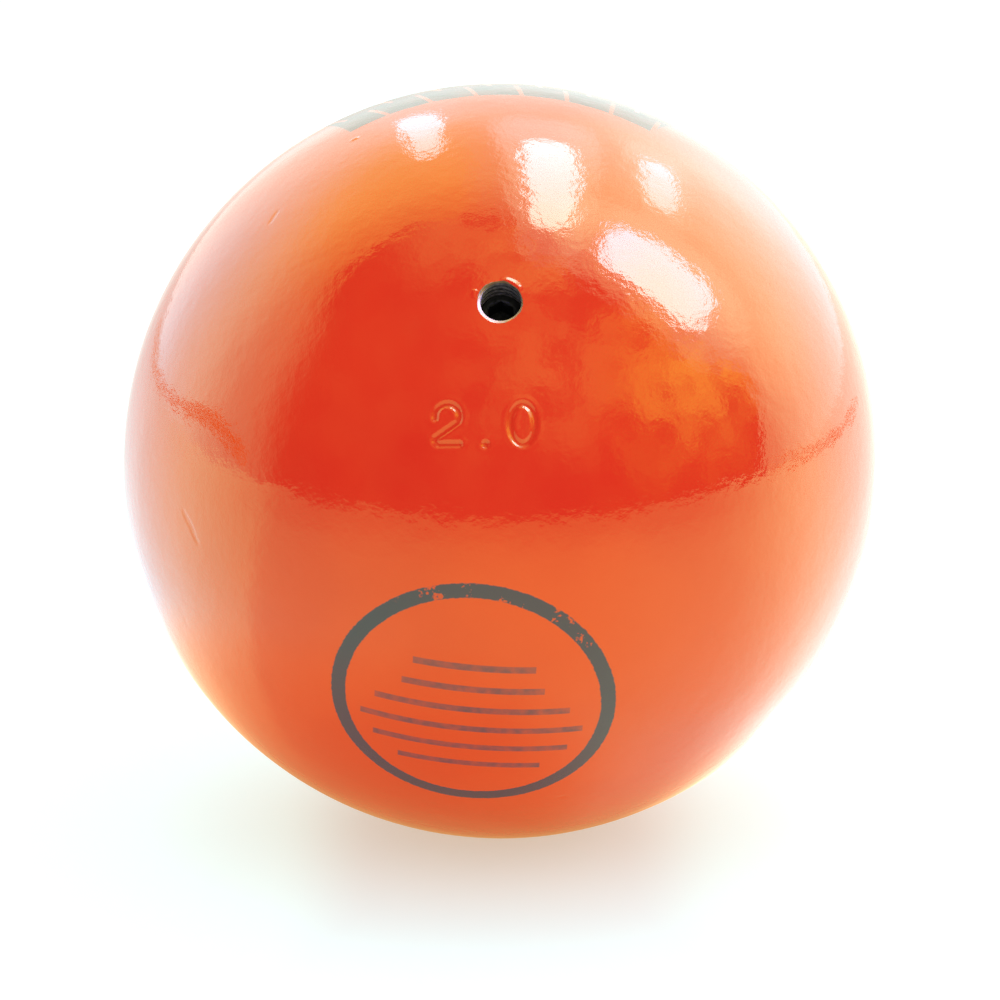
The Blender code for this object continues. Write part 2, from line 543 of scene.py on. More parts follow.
def ring_ink(tree, settings):
    """A ring, chipped along its top, round six plain rules."""
    place = place_on_ball(tree, RING_DOWN, RING_ASIDE, RING_SPIN)
    across, along, out = parts_of(tree, place)
    radius = round_axis(tree, place)[0]
    edge = math_of(
        tree, "ADD", radius, scaled(tree, noise(tree, place, 2200.0), INK_WANDER, -INK_WANDER / 2)
    )
    outer = settings.ring_radius
    inner = outer - settings.ring_width
    line = times(
        tree, ramp(tree, edge, outer + INK_SOFT, outer - INK_SOFT),
        ramp(tree, edge, inner - INK_SOFT, inner + INK_SOFT),
    )
    chips = ramp(tree, noise(tree, place, 520.0, 3.0, 0.7), 0.58, 0.64)
    upper = ramp(tree, scaled(tree, across, 0.3, along), CHIPPED_FROM, CHIPPED_FULL)
    line = times(tree, line, scaled(tree, times(tree, chips, upper), -CHIPPED_SHARE, 1.0))

    row = math_of(tree, "DIVIDE", along, settings.rule_pitch)
    number = math_of(tree, "ROUND", row)
    off_row = math_of(tree, "ABSOLUTE", math_of(tree, "SUBTRACT", row, number))
    from_middle = math_of(tree, "ABSOLUTE", math_of(tree, "ADD", number, 0.5))
    swing = math_of(tree, "COSINE", scaled(tree, number, 1.1, 1.1))
    length = scaled(tree, swing, RULE_SWING, RULE_LENGTH)
    beyond = math_of(tree, "SUBTRACT", math_of(tree, "ABSOLUTE", across), length)
    faint = scaled(tree, noise(tree, place, 900.0), 0.8, 0.25, clamp=True)
    rule = times(
        tree, ramp(tree, off_row, RULE_OUTSIDE, RULE_INSIDE), ramp(tree, beyond, INK_SOFT, -INK_SOFT),
        ramp(tree, from_middle, OUTERMOST_RULE + 0.3, OUTERMOST_RULE + 0.1), faint,
    )
    front = ramp(tree, out, 0.0, 0.001)
    return times(tree, front, math_of(tree, "MAXIMUM", line, rule))


def band_ink(tree):
    """Slanted blocks in two rows, half a block apart, round the ball's top behind the bore."""
    place = bore_place(tree)
    aside, back = parts_of(tree, place)[:2]
    turn = math_of(tree, "ARCTAN2", aside, back)
    down = math_of(tree, "ARCTAN2", *round_axis(tree, place))
    fuzz = scaled(tree, noise(tree, place, 700.0), 0.03, -0.015)
    share = math_of(tree, "DIVIDE", math_of(tree, "SUBTRACT", down, BAND_NEAR), BAND_FAR - BAND_NEAR)
    share = math_of(tree, "ADD", share, fuzz)
    far_row = math_of(tree, "GREATER_THAN", share, BAND_ROW_ENDS)
    step = scaled(tree, turn, BAND_BLOCKS / (2 * BAND_REACH), 0.5 * BAND_BLOCKS)
    step = scaled(tree, share, BAND_SLANT, step)
    step = scaled(tree, far_row, 0.5, step)
    within = math_of(tree, "FRACT", step)
    block = times(
        tree,
        ramp(tree, within, 0.0, 0.03), ramp(tree, within, 0.94, 0.91),
        ramp(tree, share, 0.0, 0.02), ramp(tree, share, 1.0, 0.98),
        ramp(tree, math_of(tree, "ABSOLUTE", turn), BAND_REACH, BAND_REACH - 0.01),
    )
    return times(tree, block, scaled(tree, noise(tree, place, 300.0), 0.4, 0.6, clamp=True))


# The enamel's warmer patches, as shares of its colour, and the tint of its gloss
WARMER = (1.06, 1.5, 1.1)
GLOSS_TINT = (0.85, 1.0, 0.25, 1.0)


def painted_iron(settings, bore):
    """Glossy orange enamel on cast iron, printed, and bare where the bore was drilled through it."""
    material, tree, shader = new_material("orange_enamel_on_iron")
    place = bore_place(tree)
    radius, height = round_axis(tree, place)

    patches = noise(tree, place, 45.0, 4.0)
    warmer = tuple(part * share for part, share in zip(settings.paint, WARMER))
    paint = blend_colour(tree, ramp(tree, patches, 0.35, 0.65), settings.paint, warmer)
    ink = math_of(tree, "MAXIMUM", ring_ink(tree, settings), band_ink(tree))
    paint = blend_colour(tree, ink, paint, settings.ink)

    # Bare iron: all the bore, and the dish at its mouth, with a ragged edge
    ragged = scaled(tree, noise(tree, place, 1000.0, 3.0), 0.0004, -0.0002)
    from_dish = round_axis(tree, vector_math(tree, "SUBTRACT", place, DISH_SHIFT))[0]
    edge = math_of(tree, "ADD", from_dish, ragged)
    near = ramp(tree, edge, DISH_RADIUS + 0.00004, DISH_RADIUS - 0.00004)
    from_centre = vector_math(tree, "LENGTH", place, result="Value")
    inside = ramp(tree, from_centre, BALL_RADIUS - 0.0003, BALL_RADIUS - 0.0005)
    bare = times(tree, math_of(tree, "MAXIMUM", near, inside), ramp(tree, height, 0.0, 0.001))

    # The iron is rubbed bright in the dish, outside the drilled wall
    wall = drilled_radius(bore)
    rubbed = times(
        tree, ramp(tree, radius, wall - 0.00005, wall + 0.00005), ramp(tree, height, 0.0400, 0.0402)
    )
    iron = mottled_metal(tree, place, 2500.0, rubbed, IRON)
    dull = math_of(tree, "ADD", iron["Roughness"], 0.2)
    scuffs = ramp(tree, noise(tree, place, 160.0, 5.0, 0.6), 0.55, 0.75)
    gloss = scaled(tree, ink, 0.15, scaled(tree, scuffs, 0.06, 0.065))
    feed(tree, shader, {
        "Base Color": blend_colour(tree, bare, paint, iron["Color"]), "Metallic": bare,
        "Roughness": node(tree, "Mix", {0: bare, 2: gloss, 3: dull}).outputs[0],
        "IOR": 1.55, "Specular IOR Level": 1.0, "Specular Tint": GLOSS_TINT,
    })
    ripple = times(tree, noise(tree, place, 380.0, 1.0), 1.2)
    ripple = scaled(tree, noise(tree, place, 1150.0, 3.0, 0.6), 0.8, ripple)
    set_bump(tree, shader, ripple, 0.6, 0.00005)
    return material


def black_steel(bore):
    """Black-oxide steel, rubbed bright on the thread's ridge, and a little on the socket's rim."""
    material, tree, shader = new_material("black_oxide_steel")
    place = bore_place(tree)
    radius, height = round_axis(tree, place)
    ridge = bore.thread / 2 - RUNNING_CLEARANCE
    worn = ramp(tree, radius, ridge - 0.00012, ridge - 0.00002)
    rim = ramp(tree, height, SCREW_TOP - 0.0002, SCREW_TOP - 0.00005)
    rim = times(tree, rim, ramp(tree, radius, 0.0017, 0.0013), 0.25)
    metal = mottled_metal(tree, place, 1500.0, math_of(tree, "MAXIMUM", worn, rim), BLACK_OXIDE)
    set_metal(tree, shader, metal, 0.9)
    set_bump(tree, shader, metal["Height"], 0.3, 0.00002)
    return material


def soft_brass():
    """Brass with the rings of its turning, bruised bright where the screw's tip bears on it."""
    material, tree, shader = new_material("turned_brass")
    place = bore_place(tree)
    radius = round_axis(tree, place)[0]
    metal = mottled_metal(tree, place, 900.0, ramp(tree, radius, 0.0016, 0.0013), BRASS)
    set_metal(tree, shader, metal)
    grooves = math_of(tree, "SINE", times(tree, radius, 60000.0))
    set_bump(tree, shader, scaled(tree, grooves, 0.4, metal["Height"]), 0.3, 0.00002)
    return material


def pellet_steel():
    """Dull steel shot, a little rusty in its pits."""
    material, tree, shader = new_material("dull_shot_steel")
    place = bore_place(tree)
    worn = ramp(tree, noise(tree, place, 350.0), 0.4, 0.6)
    metal = mottled_metal(tree, place, 900.0, worn, SHOT_STEEL)
    set_metal(tree, shader, metal)
    set_bump(tree, shader, metal["Height"], 0.4, 0.00003)
    return material


# Where the punched figures stand, in degrees down the ball's front from the bore, and aside. The
# point's radius and the patch round them are in metres
FIGURE_DOWN = 18.3
TWO_ASIDE = -7.7
POINT_DOWN = 21.2
POINT_ASIDE = -2.2
ZERO_ASIDE = 3.1
POINT_RADIUS = 0.00008
FIGURE_PATCH = ((-0.0085, 0.0060), (-0.0165, -0.0088))

# Small marks from handling: degrees down the front and aside, their turn in radians, and length
DENTS = (
    (38.7, -53.0, -0.75, 0.0030),
    (41.6, -51.6, -0.75, 0.0016),
    (-26.9, -35.7, 0.9, 0.0016),
    (84.8, 9.0, 0.2, 0.0004),
)
NIBS = (
    (-40.5, -22.2, 0.0, 0.0004),
    (-1.2, -3.8, 1.5, 0.0006),
)

# The bore's mouth: a shallow dish, a little off the bore's axis, with a lip of paint at one side
DISH_RADIUS = 0.00233
DISH_SHIFT = Vector((-0.00010, -0.00008, 0.0))
DISH_SLOPE = math.radians(26.0)
LIP_RADIUS = 0.00235
LIP_FROM, LIP_TO = math.radians(42.0), math.radians(76.0)

# Where the ball's skin is made finer: this near a small mark, and between these radii at the mouth
MARK_PATCH = 0.003
MOUTH_PATCH = (0.0018, 0.0040)

# A guide's mark on the skin: how far it reaches, how near the guide it is full, and its height
SWOLLEN = (0.0011, 0.0004, 0.00004)
DENTED = (0.0004, 0.0, -0.00005)
RAISED = (0.00035, 0.0001, 0.00008)
LIPPED = (0.0007, 0.0001, 0.00012)


def drilled_radius(bore):
    return (bore.thread - bore.pitch) / 2


def two_guide(width, height):
    """The centreline of a figure two: an arc, then a slant and a foot drawn out from its end."""
    radius = width / 2
    arc_height = height / 2 - radius
    guide = circle("two_guide", 48, radius)
    edit(guide, "VERT")

    def spare(vertex):
        turn = math.degrees(math.atan2(vertex.co.y, vertex.co.x))
        return -172.0 < turn < -37.0

    pick(guide, "verts", spare)
    bpy.ops.mesh.delete(type="VERT")
    bpy.ops.mesh.select_all(action="SELECT")
    move((0.0, arc_height, 0.0))
    shape = bmesh.from_edit_mesh(guide.data)
    end = min((vertex for vertex in shape.verts if vertex.co.x > 0), key=lambda v: v.co.y).co.copy()
    pick(guide, "verts", lambda vertex: (vertex.co - end).length < 1e-7)
    foot = -height / 2
    turn = 0.25 * radius
    corners = ((-radius, foot + 2 * turn), (-radius, foot + turn), (turn - radius, foot), (radius, foot))
    for across, along in corners:
        corner = Vector((across, along, 0.0))
        extrude(corner - end)
        end = corner
    close_edit()
    return guide


def zero_guide(width, height):
    guide = circle("zero_guide", 48, width / 2)
    edit(guide, "VERT", whole=True)
    resize((1.0, height / width, 1.0))
    close_edit()
    return guide


def stand_guide(guide, down, aside):
    guide.matrix_world = on_ball(down, aside) @ Matrix.Translation((0.0, 0.0, BALL_RADIUS))


def figure_guides(settings):
    """The strokes of the weight mark, 2.0, as one object of edges on the ball's surface."""
    width, height = settings.figure_width, settings.figure_height
    places = (
        (two_guide(width, height), FIGURE_DOWN, TWO_ASIDE),
        (circle("point_guide", 8, POINT_RADIUS), POINT_DOWN, POINT_ASIDE),
        (zero_guide(width, height), FIGURE_DOWN, ZERO_ASIDE),
    )
    for guide, down, aside in places:
        stand_guide(guide, down, aside)
    return joined([guide for guide, down, aside in places])


def short_guides(name, places):
    """Short straight guides on the ball's surface, as one object."""
    made = []
    for down, aside, turn, length in places:
        guide = circle(name, 6, length / 2)
        edit(guide, "VERT", whole=True)
        resize((1.0, 0.1, 1.0))
        close_edit()
        stand_guide(guide, down, aside)
        guide.matrix_world = guide.matrix_world @ Matrix.Rotation(turn, 4, "Z")
        made.append(guide)
    return joined(made)


def lip_guide():
    """The crest of a lip of paint at one side of the bore's mouth."""
    guide = circle("lip_guide", 96, LIP_RADIUS)
    edit(guide, "VERT")
    pick(guide, "verts", lambda vertex: not LIP_FROM < math.atan2(vertex.co.y, vertex.co.x) < LIP_TO)
    bpy.ops.mesh.delete(type="VERT")
    close_edit()
    guide.location = DISH_SHIFT + Vector((0.0, 0.0, math.sqrt(BALL_RADIUS**2 - LIP_RADIUS**2)))
    return guide


def near_guide(piece, group, guide, reach, inner, offset):
    """Raises or sinks a piece's skin by an offset, fading from a guide's edges to a reach."""
    modify(
        piece, group, "VERTEX_WEIGHT_PROXIMITY", vertex_group=group, target=guide,
        proximity_mode="GEOMETRY", proximity_geometry={"EDGE"}, min_dist=reach, max_dist=inner,
        falloff_type="SMOOTH",
    )
    modify(
        piece, group + "_push", "DISPLACE", vertex_group=group, direction="NORMAL", mid_level=0.0,
        strength=offset,
    )


def model_ball(settings, bore):
    bpy.ops.mesh.primitive_uv_sphere_add(
        segments=settings.segments, ring_count=settings.rings, radius=BALL_RADIUS
    )
    ball = named("painted_ball")
    (left, right), (low, high) = FIGURE_PATCH
    mouth_inner, mouth_outer = MOUTH_PATCH
    near_marks = [
        on_ball(down, aside) @ Vector((0.0, 0.0, BALL_RADIUS)) for down, aside, *rest in DENTS + NIBS
    ]
    edit(ball, "FACE")

    def in_patch(face):
        centre = face.calc_center_median()
        figures = left < centre.x < right and low < centre.y < high and centre.z > 0.0
        mouth = mouth_inner < centre.xy.length < mouth_outer and centre.z > 0.0
        return figures or mouth or min((centre - mark).length for mark in near_marks) < MARK_PATCH

    pick(ball, "faces", in_patch)
    bpy.ops.mesh.subdivide(number_cuts=3)
    patch = [vertex.index for vertex in bmesh.from_edit_mesh(ball.data).verts if vertex.select]
    close_edit()
    modify(
        ball, "round", "CAST", cast_type="SPHERE", factor=1.0, use_radius_as_size=False,
        size=BALL_RADIUS,
    )
    roughen(ball, "casting_lumps", settings.lump_size, strength=settings.lump_height)
    figures, lip = figure_guides(settings), lip_guide()
    dents, nibs = short_guides("dent_guides", DENTS), short_guides("nib_guides", NIBS)
    punched = (settings.punch_width, 0.0, -settings.punch_depth)
    marks = (
        ("swollen", figures, SWOLLEN), ("punched", figures, punched), ("dented", dents, DENTED),
        ("nibs", nibs, RAISED), ("lip", lip, LIPPED),
    )
    for group, guide, mark in marks:
        ball.vertex_groups.new(name=group).add(patch, 1.0, "REPLACE")
        near_guide(ball, group, guide, *mark)
    apply_all(ball)
    for each in (figures, dents, nibs, lip):
        remove(each)

    bore_radius = drilled_radius(bore)
    fill_radius = bore_radius - RUNNING_CLEARANCE
    slope = DRILL_POINT / 2
    tip = LAST_PELLET_FOOT + fill_radius - (fill_radius + SEAT_GAP) / math.sin(slope)
    mouth = math.sqrt(BALL_RADIUS**2 - DISH_RADIUS**2)
    land = bore_radius * DRILL_FLAT_SHARE
    profile = (
        (land, tip + land / math.tan(slope)),
        (bore_radius, tip + bore_radius / math.tan(slope)),
        (bore_radius, mouth + OVERCUT),
    )
    cut(ball, turned("drill", profile, bore.sides), "DIFFERENCE")
    sunk = math.tan(DISH_SLOPE)
    profile = (
        (bore_radius / 2, mouth - (DISH_RADIUS - bore_radius / 2) * sunk),
        (DISH_RADIUS + OVERCUT, mouth + OVERCUT * sunk),
    )
    dish = turned("dish", profile, bore.sides)
    dish.location = DISH_SHIFT
    cut(ball, dish, "DIFFERENCE")
    tap = threaded_rod(
        "tap", SCREW_FOOT - TAPPED_BELOW_SCREW, mouth + OVERCUT, bore.thread / 2,
        bore_radius - TOOL_CLEAR, bore.pitch, bore.sides,
    )
    cut(ball, tap, "DIFFERENCE")
    return ball


def model_screw(bore):
    """A threaded rod, kept where it lies in a chamfered blank with a hexagon socket in its top."""
    ridge_radius = bore.thread / 2 - RUNNING_CLEARANCE
    core_radius = drilled_radius(bore) - RUNNING_CLEARANCE
    screw = threaded_rod(
        "set_screw", SCREW_FOOT - OVERCUT, SCREW_TOP + OVERCUT, ridge_radius, core_radius,
        bore.pitch, bore.sides,
    )
    blank_radius = ridge_radius + TOOL_CLEAR
    end_radius = blank_radius - bore.chamfer
    profile = (
        (end_radius, SCREW_FOOT),
        (blank_radius, SCREW_FOOT + bore.chamfer),
        (blank_radius, SCREW_TOP - bore.chamfer),
        (end_radius, SCREW_TOP),
    )
    blank = turned("blank", profile, bore.sides)
    corner_radius = bore.socket / math.sqrt(3)
    floor = SCREW_TOP - bore.socket_depth
    key = turned("key", ((corner_radius, floor), (corner_radius, SCREW_TOP + OVERCUT)), 6)
    cut(blank, key, "DIFFERENCE")
    lead_in = (
        (corner_radius - 0.0003, SCREW_TOP - 0.00035),
        (corner_radius + 0.0004, SCREW_TOP + 0.00035),
    )
    cut(blank, turned("lead_in", lead_in, bore.sides), "DIFFERENCE")
    cut(screw, blank, "INTERSECT")
    return screw


def model_disc(bore):
    """A disc with broken edges, and a shallow bruise in its top from the screw's tip."""
    radius = drilled_radius(bore) - RUNNING_CLEARANCE
    edge = 0.00015
    bruise_radius = 0.0015
    profile = (
        (radius - edge, DISC_FOOT),
        (radius, DISC_FOOT + edge),
        (radius, DISC_TOP - edge),
        (radius - edge, DISC_TOP),
        (bruise_radius, DISC_TOP),
        (bruise_radius - 0.0001, DISC_TOP - 0.00005),
    )
    return turned("brass_disc", profile, bore.sides)


def model_pellet(name, foot, top):
    """A pellet, lumpy, and pressed flat where it bears on its neighbours."""
    radius = (top - foot) / 2
    centre = (top + foot) / 2
    bpy.ops.mesh.primitive_ico_sphere_add(subdivisions=5, radius=radius)
    pellet = named(name)
    edit(pellet, "VERT", whole=True)
    move((0.0, 0.0, centre))
    close_edit()
    roughen(pellet, name + "_lumps", 0.0009, mid_level=1.0, strength=0.00012)
    apply_all(pellet)
    edit(pellet, "VERT")
    reach = radius * 0.96
    for side in (-1.0, 1.0):
        level = centre + side * reach
        pick(pellet, "verts", lambda vertex: (vertex.co.z - centre) * side > reach)
        resize((1.0, 1.0, 0.0), (0.0, 0.0, level))
    close_edit()
    return pellet


class SHOTPUT_OT_ball(bpy.types.Operator):
    """Model the painted ball with its punched figures and its tapped bore"""

    bl_idname = "shotput.ball"
    bl_label = "Painted ball"

    def execute(self, context):
        settings = context.scene.shotput_casting
        bore = context.scene.shotput_bore
        ball = model_ball(settings, bore)
        finish_piece(ball, "casting", "casting", painted_iron(settings, bore))
        return {"FINISHED"}


class SHOTPUT_OT_plug(bpy.types.Operator):
    """Model the set screw that plugs the bore, and the brass disc under it"""

    bl_idname = "shotput.plug"
    bl_label = "Plug screw and disc"

    def execute(self, context):
        bore = context.scene.shotput_bore
        steel = black_steel(bore)
        finish_piece(model_screw(bore), "plug_screw", "plug_screw", steel)
        finish_piece(model_disc(bore), "packing_disc", "packing_disc", soft_brass())
        return {"FINISHED"}


class SHOTPUT_OT_pellets(bpy.types.Operator):
    """Model the steel pellets in the bore"""

    bl_idname = "shotput.pellets"
    bl_label = "Pellets"

    def execute(self, context):
        steel = pellet_steel()
        for index, name in enumerate(PELLETS):
            pellet = model_pellet(f"steel_pellet_{index + 1}", *reach_along_bore(name))
            finish_piece(pellet, "casting", name, steel)
        return {"FINISHED"}


# The studio as the gloss shows it. Its dark front opening reaches back past the ball by these
# shares, at these turns from straight up to the right, and by the last one straight down
OPENING = (
    (-90, -0.22), (-60, -0.17), (-46, -0.06), (-36, 0.03), (-8, 0.08), (5, 0.0),
    (25, -0.10), (38, -0.19), (56, -0.14), (66, -0.06), (73, -0.01), (90, -0.09),
)
OPENING_BELOW = -0.3

# Its lamps: azimuth from the front to the right, elevation, roll, half width and height, light,
# and the share of glare round it
LAMPS = (
    ("left_lamp", -165.6, 39.4, 74.5, (0.25, 0.047), (5.2, 5.2, 8.2), 0.1),
    ("high_lamp", 153.4, 66.7, 31.0, (0.095, 0.36), (8.0, 8.0, 15.5), 1.0),
    ("far_lamp", 141.3, 42.0, 54.0, (0.055, 0.185), (6.6, 6.4, 11.5), 0.4),
    ("right_lamp", 91.4, 50.8, -5.0, (0.175, 0.265), (8.5, 8.4, 23.5), 1.0),
)
OVERHEAD_BLUE = 1.25
GLARE = (0.7, 1.2, 2.3)
SLOPE_OF_SIGHT = math.radians(CAMERA_ELEVATION)
LINE_OF_SIGHT = Vector((0.0, math.cos(SLOPE_OF_SIGHT), -math.sin(SLOPE_OF_SIGHT)))

# Its levels of light, by the direction's parts. Each is a start and the steps that change it: by
# how much, and which parts bring it in, from where it begins to where it is full
WALL_LEVEL = (
    1.15,
    (1.3, ("back", -0.05, 0.45)),
    (-0.35, ("back", 0.8, 0.95)),
    (-0.35, ("up", 0.5, 0.9)),
    (0.6, ("back", -0.15, 0.15), ("aside", 0.1, 0.45)),
    (0.7, ("back", -0.15, 0.15), ("aside", 0.1, 0.45), ("up", 0.0, 0.4)),
)
AHEAD_LEVEL = (-0.2, (-0.35, ("aside", 0.1, -0.1)))
FRONT_LEVEL = (
    0.06,
    (1.0, ("aside", 0.5, 0.95), ("up", -0.1, 0.5)),
    (0.38, ("aside", -0.4, 0.3), ("up", 0.1, 0.6)),
    (0.45, ("up", 0.85, 1.0)),
)
# The floor's levels are painted light on the floor as the gloss shows it: brighter towards the sides and
# most at the right, darker behind the ball as a painted shadow, and dimmer far in front
PAINTED_FLOOR_LEVEL = (
    1.15,
    (0.9, ("back", -0.65, 0.2)),
    (0.55, ("back", -0.65, 0.2), ("aside", -0.1, 0.1)),
    (0.55, ("back", -0.41, -0.29), ("aside", 0.1, -0.1)),
    (0.4, ("aside", 0.2, 0.9)),
    (-0.5, ("back", 0.2, 0.8)),
    (-0.8, ("back", 0.7, 0.95), ("aside", 0.1, -0.1)),
)
PAINTED_FLOOR_FALL = (1.0, (-0.45, ("far", 0.0, 0.5), ("back", 0.3, -0.6)))

# Its colours, in the same way: the first, and others that take its place
WALL_COLOURS = (
    (0.85, 1.0, 1.0),
    ((1.0, 1.0, 0.5), ("up", 0.5, 0.85), ("aside", 0.05, -0.2)),
    ((0.57, 1.02, 1.36), ("aside", -0.3, -0.7), ("up", 0.8, 0.3)),
    ((0.75, 1.0, 1.15), ("aside", 0.15, 0.5)),
)
FRONT_COLOURS = ((1.0, 0.97, 0.7), ((1.1, 1.05, 0.35), ("aside", 0.3, 0.7)))
# The floor's painted light in the gloss: its colour, cooler towards the sides
PAINTED_FLOOR_COLOURS = (
    (1.0, 1.0, 0.85),
    ((0.8, 1.0, 1.05), ("aside", 0.2, 0.9)),
    ((0.6, 1.0, 1.18), ("aside", 0.0, -0.9), ("far", 0.04, 0.09)),
)
# At the ball's foot the floor in the gloss is dimmed and tinted orange: a painted shadow and a painted
# bounce from the paint
PAINTED_CONTACT_SHADOW_LEVEL = 0.46
PAINTED_CONTACT_BOUNCE_COLOUR = (1.7, 1.0, 0.35)

# Its even light, which the gloss doesn't show: more from above, and more from the right
EVEN_RISE = 0.35
EVEN_LEAN = 0.3

# The white sheet, and its glow from below: under the ball, where it is dimmer and warmer, a painted
# shadow with a painted warm bounce, away from it, and the glow's share for most rays, in the gloss
# and to the camera
SHEET_COLOUR = (0.63, 0.75, 0.92, 1.0)
PAINTED_SHADOW_GLOW_UNDER_BALL = (2.2, 2.4, 1.9)
GLOW_AWAY = (2.45, 3.1, 2.5)
GLOW_SHARE, GLOW_MORE_IN_GLOSS, GLOW_MORE_TO_CAMERA = 0.22, 0.68, -0.02
# The gap's dim orange glow, seen only in the gloss: a painted reflection
SEAM_REFLECTION_COLOUR = (1.2, 0.5, 0.0, 1.0)


def step_mask(tree, parts, limits):
    return times(tree, *(ramp(tree, parts[part], begin, full) for part, begin, full in limits))


def level_of(tree, parts, steps):
    level, *changes = steps
    for change, *limits in changes:
        level = scaled(tree, step_mask(tree, parts, limits), change, level)
    return level


def colour_of(tree, parts, steps):
    colour, *others = steps
    for other, *limits in others:
        colour = blend_colour(tree, step_mask(tree, parts, limits), colour, other)
    return colour


def lamp_group():
    """How much of an oblong lamp lies in a direction, and of the glare round it."""
    group, given, out = new_group(
        "oblong_lamp",
        (("Direction", "Vector"), ("Aim", "Vector"), ("Roll", "Float"), ("Half Width", "Float"),
         ("Half Height", "Float")),
        (("Mask", "Float"), ("Glare", "Float")),
    )
    aimed = {"Vector": given["Direction"], "Rotation": given["Aim"]}
    aimed = node(group, "Mapping", aimed, vector_type="TEXTURE").outputs[0]
    back = times(group, given["Roll"], -1.0)
    rolled = {"Vector": aimed, "Angle": back}
    rolled = node(group, "VectorRotate", rolled, rotation_type="Z_AXIS").outputs[0]
    across, along, out_of = parts_of(group, rolled)
    reach = 0.0
    for part, half in ((across, "Half Width"), (along, "Half Height")):
        share = math_of(group, "DIVIDE", part, times(group, out_of, given[half]))
        reach = math_of(group, "ADD", math_of(group, "POWER", share, 4.0), reach)
    ahead = ramp(group, out_of, 0.0, 0.1)
    feed(group, out, {
        "Mask": times(group, ahead, ramp(group, reach, 1.3, 0.6)),
        "Glare": times(group, ahead, ramp(group, reach, 16.0, 0.5)),
    })
    return group


def dark_opening(tree, parts):
    """1 in the dark opening, whose edge is soft at the left."""
    turn = math_of(tree, "ARCTAN2", parts["aside"], parts["up"])
    share = scaled(tree, turn, 1 / math.tau, 0.5)
    curve = node(tree, "FloatCurve", {"Value": share})
    points = curve.mapping.curves[0].points
    for point, end in zip(points, (0.0, 1.0)):
        point.location = (end, 0.5 + OPENING_BELOW)
    for degrees, reach in OPENING:
        points.new(degrees / 360 + 0.5, 0.5 + reach)
    curve.mapping.update()
    reach = math_of(tree, "SUBTRACT", curve.outputs[0], 0.5)
    past = math_of(tree, "SUBTRACT", parts["back"], reach)
    soft = scaled(tree, ramp(tree, parts["aside"], -0.55, -0.85), 0.16, 0.015)
    return ramp(tree, past, soft, times(tree, soft, -1.0))


def brighten(tree, colour, strength):
    return node(tree, "VectorMath", {0: colour, "Scale": strength}, operation="SCALE").outputs[0]


def wall_light(tree, direction, parts):
    """The bright walls, as the gloss shows them: dim at the front, most light high at the right.

    They are dimmed along the line of sight, which the ball's rim shows, most of all at the left.
    """
    ahead = vector_math(tree, "DOT_PRODUCT", direction, LINE_OF_SIGHT, result="Value")
    dim = scaled(tree, ramp(tree, ahead, 0.90, 1.02), level_of(tree, parts, AHEAD_LEVEL), 1.0)
    level = times(tree, level_of(tree, parts, WALL_LEVEL), dim)
    return brighten(tree, colour_of(tree, parts, WALL_COLOURS), level)


def front_light(tree, direction, parts):
    """The dark front, with the dim shapes of a room in it, high up and at the right."""
    shapes = ramp(tree, noise(tree, direction, 4.5, 4.0, 0.6), 0.38, 0.62)
    shapes = scaled(tree, shapes, 1.4, 0.3)
    level = scaled(tree, level_of(tree, parts, FRONT_LEVEL), shapes, 0.04)
    return brighten(tree, colour_of(tree, parts, FRONT_COLOURS), level)


def light_studio(settings):
    world = bpy.data.worlds.new("studio")
    bpy.context.scene.world = world
    world.use_nodes = True
    tree = world.node_tree
    direction = node(tree, "TexCoord").outputs["Generated"]
    parts = dict(zip(("aside", "back", "up"), parts_of(tree, direction)))

    glossy = blend_colour(
        tree, dark_opening(tree, parts),
        wall_light(tree, direction, parts), front_light(tree, direction, parts),
    )
    group = lamp_group()
    overhead = ramp(tree, parts["up"], 0.75, 0.97)
    for name, azimuth, elevation, roll, (half_width, half_height), light, spill in LAMPS:
        aim = (math.radians(90.0 - elevation), 0.0, math.radians(azimuth))
        lamp = use_group(tree, group, {
            "Direction": direction, "Aim": aim, "Roll": math.radians(roll),
            "Half Width": half_width, "Half Height": half_height,
        })
        glare = brighten(tree, tuple(part * spill for part in GLARE), lamp["Glare"])
        glossy = vector_math(tree, "ADD", glossy, glare)
        light = tuple(part * settings.lamps for part in light)
        light = blend_colour(tree, overhead, light, (*light[:2], light[2] * OVERHEAD_BLUE))
        glossy = blend_colour(tree, lamp["Mask"], glossy, light)

    even = scaled(tree, ramp(tree, parts["up"], -0.2, 1.0), EVEN_RISE, settings.light)
    even = scaled(tree, parts["aside"], EVEN_LEAN, even)
    even = node(tree, "CombineXYZ", {0: even, 1: even, 2: even}).outputs[0]
    rays = node(tree, "LightPath").outputs
    seen = blend_colour(tree, rays["Is Glossy Ray"], even, glossy)
    seen = blend_colour(tree, rays["Is Camera Ray"], seen, (1.0, 1.0, 1.0))
    feed(tree, tree.nodes["Background"], {"Color": seen})


